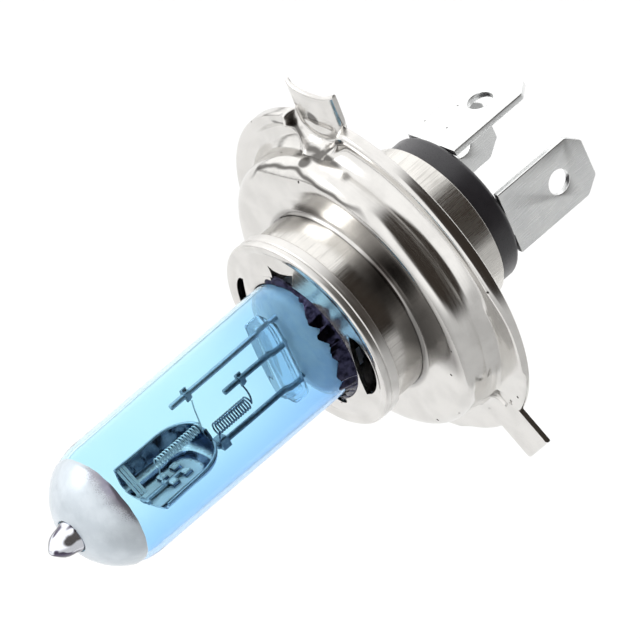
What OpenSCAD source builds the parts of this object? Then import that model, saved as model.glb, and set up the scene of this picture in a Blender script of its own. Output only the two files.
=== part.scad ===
// Twin-filament halogen headlight bulb with a three-lug prefocus cap and three blade terminals.
// The bulb's axis lies along Y: the glass tip points to -Y and the blades point to +Y.
// +Z passes through the wide reference lug. The origin is the centre of the reference plane,
// which is the plane of the lugs' front faces. Millimetres.

/* [Glass] */
// Outer diameter of the glass tube
glass_d = 14.8; // [14:0.1:15.2]
// Wall thickness of the glass
glass_wall = 1.0; // [0.8:0.1:1.2]
// Distance from the reference plane to the centre of the domed end
dome_z = 40.7; // [40:0.1:43]
// Distance from the reference plane to the end of the sealed exhaust tip
tip_z = 51.4; // [51:0.1:54]
// Distance from the reference plane to the edge of the coating on the dome
coating_z = 43.2; // [42:0.1:44.5]
// Thickness of the coating on the dome
coating_t = 0.12; // [0.1:0.02:0.2]

/* [Burner] */
// Diameter of the three support leads
lead_d = 0.8; // [0.6:0.05:0.9]
// Height of the dip-beam lead above the axis
dip_lead_y = 4.4; // [4.2:0.1:4.6]
// Height of the main-beam lead above the axis
main_lead_y = 1.3; // [1.1:0.1:1.5]
// Height of the common lead above the axis
common_lead_y = -3.6; // [-3.8:0.1:-3.4]
// Start of the dip-beam coil in front of the reference plane
dip_coil_z = 28.8; // [28.5:0.1:29.2]
// Length of the dip-beam coil
dip_coil_len = 6.0; // [5.4:0.1:6.2]
// Start of the main-beam coil in front of the reference plane
main_coil_z = 22.0; // [21.8:0.1:22.3]
// Length of the main-beam coil
main_coil_len = 4.7; // [4.4:0.1:4.9]

/* [Dip shield] */
// Length of the shield along the axis
shield_len = 10.4; // [9.8:0.1:10.8]
// Half width of the shield
shield_r = 4.1; // [3.9:0.1:4.3]
// Sheet thickness of the shield
shield_t = 0.3; // [0.25:0.05:0.4]

/* [Front cap and neck] */
// Outer diameter of the front cap
cap_d = 24.2; // [24:0.1:24.6]
// Distance from the reference plane to the cap's front face
cap_z = 11.9; // [11.6:0.1:12.4]
// Depth of the front cap's skirt
cap_depth = 3.1; // [2.6:0.1:3.4]
// Outer diameter of the neck sleeve
neck_d = 23.0; // [22.8:0.1:23.0]
// Sheet thickness of the drawn steel pieces
sheet = 0.6; // [0.5:0.05:0.7]

/* [Prefocus ring] */
// Outer diameter of the flange
flange_d = 43; // [42.5:0.1:43.5]
// Outer diameter of the raised step
step_d = 35.2; // [34.8:0.1:35.6]
// Height of the raised step's front face above the reference plane
step_z = 4.7; // [4.2:0.1:5.2]
// Width of the reference lug
ref_lug_w = 8; // [7.5:0.1:8.5]
// Width of the two side lugs
side_lug_w = 6; // [5.5:0.1:6.5]
// Distance from the axis to the end of a side lug
lug_reach = 25.8; // [25:0.1:26.5]
// Distance from the axis to the corners of the reference lug
ref_lug_reach = 25; // [24.5:0.1:25.8]
// Angle of each side lug from the reference lug
side_lug_angle = 143.3; // [140:0.1:146]

/* [Rear] */
// Outer diameter of the rear shell
shell_d = 20; // [19.9:0.1:20.4]
// Distance from the reference plane back to the shell's rear rim
shell_back = 8.6; // [8.2:0.1:9]
// Diameter of the insulator
insulator_d = 18.7; // [18.5:0.1:18.7]
// Distance from the reference plane back to the insulator's rear face
insulator_back = 11.8; // [11.4:0.1:12.2]

/* [Terminals] */
// Width of a blade
blade_w = 8; // [7.6:0.1:8]
// Thickness of a blade
blade_t = 0.8; // [0.7:0.05:0.9]
// Distance from the axis to the middle of a blade
blade_offset = 8.4; // [8.2:0.1:8.4]
// Distance from the reference plane back to the end of a blade
blade_back = 24.1; // [23.5:0.1:25]
// Diameter of the hole in a blade
blade_hole_d = 2.9; // [2.6:0.1:3.2]
// Distance from the reference plane back to the middle of a blade's hole
blade_hole_back = 19.5; // [19:0.1:20]

/* [Hidden] */

glass_r = glass_d / 2;
bore_r = glass_r - glass_wall;
glass_base_z = 12.2;
tip_r = 1.95;
tip_nose = 2.8;

pinch_w = 11.2;
pinch_t = 4.2;
pinch_back_z = 2.2;
pinch_plug_z = 13.6;
foil_w = 2.0;
foil_t = 0.1;
foil_back_z = 4.4;
foil_front_z = 9.6;
lead_r = lead_d / 2;
lead_ys = [dip_lead_y, main_lead_y, common_lead_y];
lead_ends = [30.7, 24.1, 27.6];
lead_root_z = 8.6;
bar_w = 2.4;
bar_depth = 1.9;
bar_front_z = 17.8;
bar_top_y = 5.15;
bar_bottom_y = -5.0;

dip_coil_r = 0.5;
dip_wire_r = 0.13;
dip_turns = 14;
main_coil_r = 0.62;
main_wire_r = 0.15;
main_turns = 12;
main_coil_x = 0.4;
main_coil_y = -1.6;
coil_steps = 10;
wire_sides = 6;

shield_end_z = 27.4;
shield_rim_y = 0;
shield_low_rim_y = -1.5;
shield_drop = 4.3;

cap_r = cap_d / 2;
cap_hole_r = 7.75;
cap_slot_r = 8.3;
cap_round = 0.9;
tongue_len = 2.4;
neck_r = neck_d / 2;
neck_back_z = -0.6;

flange_r = flange_d / 2;
step_r = step_d / 2;
channel_z = 0.4;
ridge_z = 0.9;
lug_root = 18.3;
ref_lug_lean = -7;
ref_lug_bulge = 0.5;
scallop_r = 4.2;

shell_r = shell_d / 2;
shell_flare_z = 0;
insulator_front = 4.2;
tang_w = 3;
tang_front = 3.4;
outer_lead_d = 1.0;

// Turns the axis from local +Z, towards the tip, to the part's -Y, with local +Y upwards
module on_axis() {
    rotate([90, 0, 0]) children();
}

// Points on an arc about (cx, cy)
function arc(cx, cy, r, from, to, steps = 6) =
    [for (i = [0 : steps]) let (a = from + (to - from) * i / steps) [cx + r * cos(a), cy + r * sin(a)]];

module lathe(profile) {
    rotate_extrude($fn = 96) polygon(profile);
}

module ring(outer_r, inner_r, from_z, to_z) {
    difference() {
        translate([0, 0, from_z]) cylinder(r = outer_r, h = to_z - from_z, $fn = 96);
        translate([0, 0, from_z - 1]) cylinder(r = inner_r, h = to_z - from_z + 2, $fn = 96);
    }
}

// A box between two corners
module block(low, high) {
    translate(low) cube(high - low);
}

// A straight round wire between two points
module wire(from, to, r) {
    run = to - from;
    length = norm(run);
    translate(from)
        rotate([0, acos(run[2] / length), atan2(run[1], run[0])])
            cylinder(r = r, h = length, $fn = 24);
}

// A round wire swept along a list of points as one closed skin
module swept_wire(path, r) {
    count = len(path);
    function tangent(i) =
        let (d = path[min(i + 1, count - 1)] - path[max(i - 1, 0)]) d / norm(d);
    function side(i) = let (c = cross(tangent(i), [0, 0.02, 1])) c / norm(c);
    function upward(i) = cross(side(i), tangent(i));
    rings = [for (i = [0 : count - 1], k = [0 : wire_sides - 1])
        let (a = 360 * k / wire_sides) path[i] + r * (cos(a) * side(i) + sin(a) * upward(i))];
    walls = [for (i = [0 : count - 2], k = [0 : wire_sides - 1])
        let (n = (k + 1) % wire_sides, low = i * wire_sides, high = low + wire_sides)
        [low + k, high + k, high + n, low + n]];
    first = [for (k = [0 : wire_sides - 1]) k];
    last = [for (k = [wire_sides - 1 : -1 : 0]) (count - 1) * wire_sides + k];
    polyhedron(rings, concat(walls, [first, last]), convexity = 8);
}

// Points along a coil whose axis is parallel to Z
function coil(cx, cy, r, from_z, length, turns, start = 0) =
    [for (i = [0 : turns * coil_steps])
        let (a = start + 360 * i / coil_steps)
        [cx + r * cos(a), cy + r * sin(a), from_z + length * i / (turns * coil_steps)]];

// ---- Glass ----

module glass_envelope() {
    color([0.45, 0.75, 0.95, 0.5]) on_axis()
        lathe(concat(
            [[bore_r, glass_base_z]],
            [[glass_r, glass_base_z]],
            arc(0, dome_z, glass_r, 0, 90, 16),
            arc(0, dome_z, bore_r, 90, 0, 16)));
}

module tip_coating() {
    edge_angle = asin((coating_z - dome_z) / glass_r);
    top_angle = acos((tip_r + 0.1) / glass_r);
    color([0.82, 0.84, 0.86]) on_axis()
        lathe(concat(
            arc(0, dome_z, glass_r, edge_angle, top_angle, 12),
            arc(0, dome_z, glass_r + coating_t, top_angle, edge_angle, 12)));
}

module exhaust_tip() {
    color([0.75, 0.85, 0.92, 0.7]) on_axis()
        difference() {
            lathe(concat(
                [[0, dome_z + glass_r - 0.9], [tip_r, dome_z + glass_r - 0.9]],
                [for (a = [0 : 7.5 : 90])
                    [tip_r * pow(cos(a), 1.2), tip_z - tip_nose * (1 - sin(a))]]));
            translate([0, 0, dome_z]) sphere(r = glass_r, $fn = 96);
        }
}

module foils(index) {
    y = lead_ys[index];
    block([-foil_t / 2, y - foil_w / 2, foil_back_z], [foil_t / 2, y + foil_w / 2, foil_front_z]);
}

module lead_rod(index) {
    translate([0, lead_ys[index], lead_root_z])
        cylinder(r = lead_r, h = lead_ends[index] - lead_root_z, $fn = 24);
}

// The rear wires of the burner, from the foils to behind the pinch
module pinch_tail(index) {
    translate([0, lead_ys[index], 0])
        cylinder(r = outer_lead_d / 2, h = foil_back_z + 0.8, $fn = 24);
}

module pinch_seal() {
    color([0.7, 0.85, 0.95, 0.5]) on_axis()
        difference() {
            union() {
                block([-pinch_t / 2, -pinch_w / 2, pinch_back_z], [pinch_t / 2, pinch_w / 2, glass_base_z + 0.4]);
                lathe([[0, glass_base_z], [bore_r, glass_base_z], [bore_r, pinch_plug_z - 0.4],
                    [bore_r - 0.5, pinch_plug_z], [4.6, pinch_plug_z + 0.7], [0, pinch_plug_z + 1.2]]);
                // Raised beads that the press leaves along both edges
                for (side = [-1, 1], edge = [-1, 1])
                    translate([side * (pinch_t / 2 - 0.2), edge * (pinch_w / 2 - 0.6), pinch_back_z])
                        cylinder(r = 0.6, h = glass_base_z - pinch_back_z + 0.2, $fn = 24);
            }
            for (i = [0 : 2]) {
                foils(i);
                lead_rod(i);
                pinch_tail(i);
            }
        }
}

module foil(index) {
    color([0.55, 0.55, 0.6]) on_axis()
        difference() {
            foils(index);
            lead_rod(index);
            pinch_tail(index);
        }
}
module foil_top() { foil(0); }
module foil_middle() { foil(1); }
module foil_bottom() { foil(2); }

// ---- Leads, bridge and filaments ----

module lead(index) {
    color([0.35, 0.4, 0.45]) on_axis() lead_rod(index);
}
module dip_lead() { lead(0); }
module main_lead() { lead(1); }
module common_lead() { lead(2); }

// One of the two quartz bars that are fused together over the leads
module bridge_bar(side) {
    end_r = 0.7;
    color([0.7, 0.87, 0.97, 0.5]) on_axis()
        difference() {
            union() {
                block([side > 0 ? 0 : -bar_depth, bar_bottom_y + end_r, bar_front_z - bar_w],
                    [side > 0 ? bar_depth : 0, bar_top_y - end_r, bar_front_z]);
                for (y = [bar_bottom_y + end_r, bar_top_y - end_r])
                    block([side > 0 ? 0 : -bar_depth + end_r, y - end_r, bar_front_z - bar_w],
                        [side > 0 ? bar_depth - end_r : 0, y + end_r, bar_front_z]);
                for (y = [bar_bottom_y + end_r, bar_top_y - end_r])
                    translate([side * (bar_depth - end_r), y, bar_front_z - bar_w])
                        cylinder(r = end_r, h = bar_w, $fn = 32);
            }
            for (i = [0 : 2]) lead_rod(i);
        }
}
module bridge_bar_near() { bridge_bar(1); }
module bridge_bar_far() { bridge_bar(-1); }

module dip_filament() {
    z0 = dip_coil_z;
    z1 = dip_coil_z + dip_coil_len;
    color([0.75, 0.75, 0.78]) on_axis()
        swept_wire(concat(
            [[0.3, 3.3, z0 - 0.9], [0.45, 1.8, z0 - 0.5], [0.5, 0.5, z0 - 0.2]],
            coil(0, 0, dip_coil_r, z0, dip_coil_len, dip_turns),
            [[0.45, -0.6, z1 + 0.3], [0.3, -1.8, z1 + 0.7], [0.2, -3.4, z1 + 0.9]]),
            dip_wire_r);
}

module main_filament() {
    z0 = main_coil_z;
    z1 = main_coil_z + main_coil_len;
    color([0.7, 0.7, 0.74]) on_axis()
        swept_wire(concat(
            [[0.6, 0.4, z0 - 0.1], [0.8, -0.4, z0 - 0.25], [main_coil_x + 0.62, -1.2, z0 - 0.15]],
            coil(main_coil_x, main_coil_y, main_coil_r, z0, main_coil_len, main_turns),
            [[0.9, -2.1, z1 + 0.3], [0.7, -2.6, z1 + 0.6], [0.5, -3.0, z1 + 0.8]]),
            main_wire_r);
}

// The solid whose skin is the shield: a boat with a round stern and a blunter bow
module shield_body(grow) {
    r = shield_r - shield_t + grow;
    bow_z = shield_end_z + shield_len;
    scale_y = (shield_drop - shield_t + grow) / r;
    intersection() {
        union() {
            translate([0, shield_rim_y, shield_end_z + shield_r])
                cylinder(r = r, h = shield_len - shield_r - shield_t + grow, $fn = 64);
            translate([0, shield_rim_y, shield_end_z + shield_r]) sphere(r = r, $fn = 64);
        }
        block([-r - 1, -shield_drop + shield_t - grow, shield_end_z - 1], [r + 1, 1, bow_z + 1]);
    }
}

module dip_shield() {
    bow_z = shield_end_z + shield_len;
    color([0.5, 0.55, 0.62]) on_axis()
        difference() {
            shield_body(shield_t);
            shield_body(0);
            // The open top, level over the far half and lower over the near half
            block([-6, shield_rim_y, shield_end_z - 1], [6, 8, bow_z + 1]);
            block([0, shield_low_rim_y, shield_end_z - 1], [6, 8, bow_z + 1]);
            // The notch that the common lead is welded into
            translate([0, common_lead_y, shield_end_z - 1]) cylinder(r = lead_r + 0.05, h = 3, $fn = 24);
        }
}

module shield_bracket() {
    color([0.4, 0.43, 0.48]) on_axis()
        difference() {
            block([-0.75, -4.1, 26.2], [0.75, -2.9, 27.3]);
            lead_rod(2);
            translate([0.5, -3, 26]) cylinder(r = 0.2, h = 4, $fn = 24);
        }
}

// The flat wire that is welded across the shield's floor and carries the coil's front end
module shield_brace() {
    color([0.45, 0.48, 0.53]) on_axis() {
        block([-0.25, -3.95, 31.6], [0.25, -3.65, 36.6]);
        block([-0.25, -3.95, 35.6], [0.5, -3.45, 36.1]);
    }
}

module weld_tab(index, z, drop) {
    y = lead_ys[index];
    color([0.4, 0.43, 0.48]) on_axis()
        difference() {
            block([-0.55, y - drop, z - 0.35], [0.55, y + 0.85, z + 0.35]);
            lead_rod(index);
        }
}
module dip_weld_tab() { weld_tab(0, 28.3, 0.9); }
module main_weld_tab() { weld_tab(1, 21.6, 0.9); }

// ---- Metal burner holder ----

// The sprung holder inside the neck that grips the flat pinch
module burner_clip() {
    plate_z = 7.4;
    plate_t = 0.5;
    gap_x = pinch_t / 2 + 0.5;
    gap_y = pinch_w / 2 + 0.1;
    color([0.45, 0.42, 0.45]) on_axis()
        difference() {
            union() {
                translate([0, 0, plate_z]) cylinder(r = neck_r - sheet, h = plate_t, $fn = 96);
                for (side = [-1, 1])
                    block([side > 0 ? gap_x : -gap_x - plate_t, -3.4, plate_z - 3.2],
                        [side > 0 ? gap_x + plate_t : -gap_x, 3.4, plate_z + 3.4]);
            }
            block([-gap_x, -gap_y, plate_z - 5], [gap_x, gap_y, plate_z + 5]);
            for (a = [45 : 90 : 315])
                rotate(a) translate([8.2, 0, plate_z - 1]) cylinder(r = 1.3, h = 3, $fn = 32);
        }
}

// One of the slots in the cap's face, its inner edge on the hole's circle
module cap_slot(angle, reach, half_span) {
    rotate(angle) intersection() {
        translate([reach - cap_slot_r, 0, cap_z - 3]) cylinder(r = cap_slot_r + 0.9, h = 4, $fn = 64);
        block([0, -half_span, cap_z - 3], [20, half_span, cap_z + 1]);
    }
}

module front_cap() {
    skirt_r = cap_r - sheet;
    color([0.78, 0.78, 0.77]) on_axis() {
        difference() {
            lathe(concat(
                [[cap_hole_r, cap_z - sheet]],
                arc(cap_r - cap_round, cap_z - cap_round, cap_round - sheet + 0.1, 90, 0, 4),
                [[skirt_r, cap_z - cap_depth], [cap_r, cap_z - cap_depth]],
                arc(cap_r - cap_round, cap_z - cap_round, cap_round, 0, 90, 8),
                [[cap_hole_r, cap_z]]));
            for (a = [-16, 164]) cap_slot(a, cap_slot_r + 0.1, 3.9);
            for (a = [93, 273]) cap_slot(a, cap_slot_r - 0.2, 1.3);
        }
        // Sprung tongues that stand round the glass
        intersection() {
            ring(cap_hole_r + 0.35, cap_hole_r, cap_z - sheet, cap_z + tongue_len);
            union() for (a = [35, 75, 125, 215, 255, 305])
                rotate(a) block([0, -1.7, 0], [20, 1.7, 30]);
        }
    }
}

module neck_sleeve() {
    color([0.74, 0.73, 0.71]) on_axis() ring(neck_r, neck_r - sheet + 0.1, neck_back_z, cap_z - sheet - 0.1);
}

// ---- Prefocus ring ----

// A side lug with the flat segment of the flange that it stands on
module side_lug(angle) {
    rotate(90 + angle) difference() {
        union() {
            block([lug_root, -side_lug_w / 2, -sheet], [lug_reach, side_lug_w / 2, 0]);
            intersection() {
                translate([0, 0, -sheet]) cylinder(r = flange_r, h = sheet, $fn = 96);
                block([lug_root, -flange_r, -sheet - 1], [flange_r + 1, flange_r, 1]);
            }
        }
        // The small square pit stamped at the root
        block([lug_root + 0.5, -0.9, -0.25], [lug_root + 2.2, 0.9, 1]);
    }
}

// Everything of the ring in front of a side lug's flat segment
module side_lug_clearance(angle) {
    rotate(90 + angle) block([lug_root, -flange_r, -sheet - 1], [flange_r + 1, flange_r, step_z]);
}

// The wide lug, bulging forward across its width, leaning back, with a hollow end
module reference_lug() {
    half = ref_lug_w / 2;
    bend_r = (half * half + ref_lug_bulge * ref_lug_bulge) / (2 * ref_lug_bulge);
    length = ref_lug_reach - lug_root;
    translate([0, lug_root, 0]) rotate([ref_lug_lean, 0, 0])
        difference() {
            intersection() {
                block([-half, 0, -4], [half, length, 4]);
                translate([0, 0, -bend_r]) rotate([-90, 0, 0]) ring(bend_r, bend_r - sheet, 0, length);
            }
            translate([0, length + 11.4, -4]) cylinder(r = 12, h = 8, $fn = 96);
        }
}

module prefocus_ring() {
    step_back = step_z - sheet;
    color([0.76, 0.75, 0.72]) on_axis() {
        difference() {
            lathe(concat(
                [[neck_r + 0.05, step_back]],
                [[step_r - 1.1, step_back], [step_r - sheet, step_back - 0.5]],
                [[step_r - sheet, 0.3], [step_r - 0.1, -0.2], [flange_r - 1.5, -0.2]],
                [[flange_r - 1.1, 0.1], [flange_r - 0.6, 0.1], [flange_r - 0.6, -sheet]],
                [[flange_r, -sheet]],
                arc(flange_r - 0.5, ridge_z - 0.5, 0.5, 0, 80, 5),
                [[flange_r - 1.0, ridge_z - 0.05], [flange_r - 1.9, channel_z]],
                arc(step_r + 0.7, channel_z + 0.7, 0.7, 270, 180, 5),
                arc(step_r - 0.7, step_z - 0.7, 0.7, 0, 90, 6),
                arc(neck_r + 0.05 + 0.5, step_z + 0.5, 0.5, 270, 180, 5)));
            for (a = [side_lug_angle, -side_lug_angle]) side_lug_clearance(a);
            // The scallop that leads the ridge round the reference lug
            translate([0, lug_root + scallop_r, 0.1]) cylinder(r = scallop_r, h = 3, $fn = 64);
        }
        for (a = [side_lug_angle, -side_lug_angle]) side_lug(a);
        reference_lug();
    }
}

// ---- Rear ----

module rear_shell() {
    shell_bore = shell_r - sheet + 0.1;
    color([0.77, 0.76, 0.74]) on_axis()
        lathe([[shell_bore, -shell_back], [shell_r, -shell_back], [shell_r, shell_flare_z - 0.3],
            [neck_r - sheet, shell_flare_z - 0.3], [neck_r - sheet, shell_flare_z + 0.3],
            [shell_bore, shell_flare_z + 0.3]]);
}

module blade_solid() {
    half = blade_w / 2;
    end_half = 2.4;
    taper = 1.7;
    corner = 0.5;
    translate([0, 0, -blade_t / 2]) difference() {
        linear_extrude(blade_t) polygon([
            [-tang_w / 2, -tang_front], [-tang_w / 2, -insulator_back + 0.8],
            [-half, -insulator_back + 0.8], [-half, -blade_back + taper + corner],
            [-half + 0.2, -blade_back + taper],
            [-end_half - 0.2, -blade_back + 0.15], [-end_half + 0.3, -blade_back],
            [end_half - 0.3, -blade_back], [end_half + 0.2, -blade_back + 0.15],
            [half - 0.2, -blade_back + taper],
            [half, -blade_back + taper + corner], [half, -insulator_back + 0.8],
            [tang_w / 2, -insulator_back + 0.8], [tang_w / 2, -tang_front]]);
        translate([0, -blade_hole_back, -1]) cylinder(r = blade_hole_d / 2, h = blade_t + 2, $fn = 48);
    }
}

// Places a blade at an angle round the axis, its length along local Z
module blade_at(angle) {
    rotate(angle) translate([blade_offset, 0, 0]) rotate([90, 0, 90]) children();
}
blade_angles = [90, 180, 0];

module terminal(index) {
    color([0.8, 0.82, 0.82]) on_axis() blade_at(blade_angles[index]) blade_solid();
}
module terminal_top() { terminal(0); }
module terminal_left() { terminal(1); }
module terminal_right() { terminal(2); }

module insulator() {
    insulator_r = insulator_d / 2;
    color([0.13, 0.13, 0.15]) on_axis()
        difference() {
            lathe([[0, -insulator_back + 0.5], [5.2, -insulator_back + 0.5], [5.6, -insulator_back],
                [insulator_r - 0.3, -insulator_back], [insulator_r, -insulator_back + 0.3],
                [insulator_r, -insulator_front], [0, -insulator_front]]);
            for (a = blade_angles) blade_at(a) blade_solid();
        }
}

// A wire from the pinch to the inner end of one blade's tang
module outer_lead(index) {
    r = outer_lead_d / 2;
    joint_r = r + 0.04;
    from = [0, lead_ys[index], foil_back_z + 0.6];
    turn = [from[0], from[1], 0.6];
    inset = blade_offset - blade_t / 2 - r;
    a = blade_angles[index];
    to = [inset * cos(a), inset * sin(a), -2.6];
    color([0.72, 0.72, 0.7]) on_axis() {
        wire(from, turn, r);
        translate(turn) sphere(r = joint_r, $fn = 24);
        wire(turn, to, r);
        translate(to) sphere(r = joint_r, $fn = 24);
        wire(to, to - [0, 0, 1.4], r);
    }
}
module outer_lead_top() { outer_lead(0); }
module outer_lead_left() { outer_lead(1); }
module outer_lead_right() { outer_lead(2); }

glass_envelope();
tip_coating();
exhaust_tip();
pinch_seal();
foil_top();
foil_middle();
foil_bottom();
dip_lead();
main_lead();
common_lead();
bridge_bar_near();
bridge_bar_far();
dip_filament();
main_filament();
dip_shield();
shield_bracket();
shield_brace();
dip_weld_tab();
main_weld_tab();
burner_clip();
front_cap();
neck_sleeve();
prefocus_ring();
rear_shell();
insulator();
terminal_top();
terminal_left();
terminal_right();
outer_lead_top();
outer_lead_left();
outer_lead_right();
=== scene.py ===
"""The looks of a twin-filament headlight bulb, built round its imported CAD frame.

Every piece is drawn in the bulb's own directions, in millimetres: x to the right seen from the tip,
y up through the reference lug, and z in front of the reference plane, towards the glass tip.
local() turns such a point into the scene's metres.
"""

import math
from types import SimpleNamespace

import bmesh
import bpy
from mathutils import Matrix, Quaternion, Vector, noise

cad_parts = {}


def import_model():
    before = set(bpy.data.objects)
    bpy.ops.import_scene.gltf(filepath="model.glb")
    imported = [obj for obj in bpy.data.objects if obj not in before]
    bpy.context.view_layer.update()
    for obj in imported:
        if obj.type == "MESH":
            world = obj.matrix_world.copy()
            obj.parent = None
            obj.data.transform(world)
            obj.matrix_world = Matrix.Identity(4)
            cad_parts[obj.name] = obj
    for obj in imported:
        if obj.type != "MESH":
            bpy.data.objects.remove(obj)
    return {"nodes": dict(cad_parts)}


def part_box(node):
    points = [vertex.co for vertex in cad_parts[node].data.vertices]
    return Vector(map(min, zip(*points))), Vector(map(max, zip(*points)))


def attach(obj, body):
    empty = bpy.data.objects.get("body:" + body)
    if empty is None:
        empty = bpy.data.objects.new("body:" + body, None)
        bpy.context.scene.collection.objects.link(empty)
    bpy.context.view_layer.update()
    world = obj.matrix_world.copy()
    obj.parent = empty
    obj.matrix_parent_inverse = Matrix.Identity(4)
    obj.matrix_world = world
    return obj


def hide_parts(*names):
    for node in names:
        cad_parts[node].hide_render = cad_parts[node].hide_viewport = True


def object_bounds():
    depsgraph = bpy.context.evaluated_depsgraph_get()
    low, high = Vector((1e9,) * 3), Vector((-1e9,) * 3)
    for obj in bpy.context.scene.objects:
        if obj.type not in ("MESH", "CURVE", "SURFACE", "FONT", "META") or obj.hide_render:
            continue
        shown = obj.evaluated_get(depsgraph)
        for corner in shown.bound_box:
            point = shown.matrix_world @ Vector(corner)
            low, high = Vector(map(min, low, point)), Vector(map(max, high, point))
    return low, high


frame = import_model()
CAD_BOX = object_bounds()

MM = 0.001

# ---- The bulb's dimensions, from the frame ----


def extent(node):
    """A CAD node's box in millimetres: x, y and z ranges, and its radius across."""
    low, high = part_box(node)
    return SimpleNamespace(
        x0=low.x / MM, x1=high.x / MM, y0=low.z / MM, y1=high.z / MM,
        z0=-high.y / MM, z1=-low.y / MM, r=(high.x - low.x) / 2 / MM)


GLASS = extent("glass_envelope")
COATING = extent("tip_coating")
TIP = extent("exhaust_tip")
PINCH = extent("pinch_seal")
CAP = extent("front_cap")
NECK = extent("neck_sleeve")
RING = extent("prefocus_ring")
SHELL = extent("rear_shell")
INSULATOR = extent("insulator")
SHIELD = extent("dip_shield")
BAR = extent("bridge_bar_near")

# The glass: its wall, the dome's centre, the bore and the pinch's round shoulder in it.
GLASS_WALL = 0.6
DOME_Z = GLASS.z1 - GLASS.r
BORE_R = GLASS.r - GLASS_WALL
PINCH_R = BORE_R - 0.03

# The metal cap: its sheet, the hole for the glass, the fronts of the rim and of the hole's edge, the
# skirt's end, and the cuts in its disc. Angles run round the axis from x, in degrees.
SHEET = 0.6
CAP_HOLE_R = 8.1
FACE_Z = CAP.z1 - 2.4
HOLE_Z = FACE_Z + 0.5
SKIRT_Z = CAP.z0 + 1.0
SLOT_ANGLES = (-10, 170)
FIN_NOTCH = [(2.4, 7.6), (2.9, 9.35), (2.0, 9.2), (0.8, 9.1), (-0.3, 9.2), (-1.25, 9.55), (-0.8, 8.8),
             (-0.7, 7.9)]
FLAT_TONGUE = (98, 206)

# The prefocus ring: its raised step, then its lugs, the reference one above and one to each side below.
STEP_R = 17.6
STEP_Z = RING.z1
LUG_ROOT = 18.3
SIDE_LUG_REACH = 25.8
SIDE_LUG_HALF = 3.0
SIDE_LUG_TURN = 143.3
SIDE_LUG_ANGLES = {side: math.radians(90 + side * SIDE_LUG_TURN) for side in (1, -1)}
REF_LUG_HALF = 4.0
REF_LUG_ANGLE = math.radians(90)

# The dip-beam shield: its sheet, and how far its floor lies below the axis.
SHIELD_SHEET = 0.25
SHIELD_DEPTH = -SHIELD.y0 - 0.85

# ---- Mesh helpers ----


def local(x, y, z):
    """A point of the bulb, in millimetres, as a place in the scene, in metres."""
    return Vector((x, -z, y)) * MM


def polar(r, angle, z):
    """A point at a radius and an angle (in radians) round the axis."""
    return r * math.cos(angle), r * math.sin(angle), z


def turn_from(start, angle):
    """The turn from one angle to another, between -pi and pi."""
    return (angle - start + math.pi) % math.tau - math.pi


def smoothstep(low, high, value):
    t = min(1.0, max(0.0, (value - low) / (high - low)))
    return t * t * (3 - 2 * t)


def mix(a, b, t):
    return a + (b - a) * t


def wander(x, y, z, scale):
    """Smooth noise between about -1 and 1."""
    return noise.noise(Vector((x, y, z)) * scale)


def uneven(share, scale):
    """A shape for lathe() that draws points in by up to a share, in slow waves."""
    def shape(x, y, z):
        swell = 1 - share * (0.5 + 0.5 * wander(x, y, z, scale))
        return x * swell, y * swell, z
    return shape


def link(name, data):
    """A new object in the scene."""
    obj = bpy.data.objects.new(name, data)
    bpy.context.scene.collection.objects.link(obj)
    return obj


def baked(obj):
    """The object's mesh with its curve or modifiers worked out."""
    bpy.context.view_layer.update()
    return bpy.data.meshes.new_from_object(obj.evaluated_get(bpy.context.evaluated_depsgraph_get()))


def finish_mesh(mesh, sharp):
    """Welds doubled points, turns the faces outwards and shades them smooth up to an angle in degrees."""
    work = bmesh.new()
    work.from_mesh(mesh)
    bmesh.ops.remove_doubles(work, verts=work.verts, dist=1e-7)
    bmesh.ops.dissolve_degenerate(work, edges=work.edges, dist=1e-7)
    bmesh.ops.recalc_face_normals(work, faces=work.faces)
    work.to_mesh(mesh)
    work.free()
    mesh.polygons.foreach_set("use_smooth", [True] * len(mesh.polygons))
    mesh.set_sharp_from_angle(angle=math.radians(sharp))


def to_object(name, points, faces, sharp=32):
    mesh = bpy.data.meshes.new(name)
    mesh.from_pydata([local(*p) for p in points], [], faces)
    finish_mesh(mesh, sharp)
    return link(name, mesh)


def rounded(corners, step=12):
    """An outline with round corners, from (a, b, radius) corners. A corner of radius 0 stays a point."""
    outline = []
    count = len(corners)
    for i, (a, b, radius) in enumerate(corners):
        here = Vector((a, b))
        if radius == 0:
            outline.append((a, b))
            continue
        before = (Vector(corners[i - 1][:2]) - here).normalized()
        after = (Vector(corners[(i + 1) % count][:2]) - here).normalized()
        opening = math.acos(max(-1.0, min(1.0, before.dot(after))))
        reach = radius / math.tan(opening / 2)
        centre = here + (before + after).normalized() * (radius / math.sin(opening / 2))
        start, end = here + before * reach - centre, here + after * reach - centre
        turn = math.atan2(start.x * end.y - start.y * end.x, start.dot(end))
        parts = max(2, round(abs(math.degrees(turn)) / step))
        for k in range(parts + 1):
            outline.append(tuple(centre + Matrix.Rotation(turn * k / parts, 2) @ start))
    return outline


def arc(cx, cz, r, start, end, parts):
    """Points on an arc in an (r, z) outline, angles in degrees."""
    angles = [math.radians(mix(start, end, i / parts)) for i in range(parts + 1)]
    return [(cx + r * math.cos(a), cz + r * math.sin(a)) for a in angles]


def subdivided(outline, step):
    """The outline with extra points along its long stretches, without its last point."""
    dense = []
    for (r0, z0), (r1, z1) in zip(outline, outline[1:]):
        parts = max(1, round(math.hypot(r1 - r0, z1 - z0) / step))
        dense += [(mix(r0, r1, k / parts), mix(z0, z1, k / parts)) for k in range(parts)]
    return dense


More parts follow.
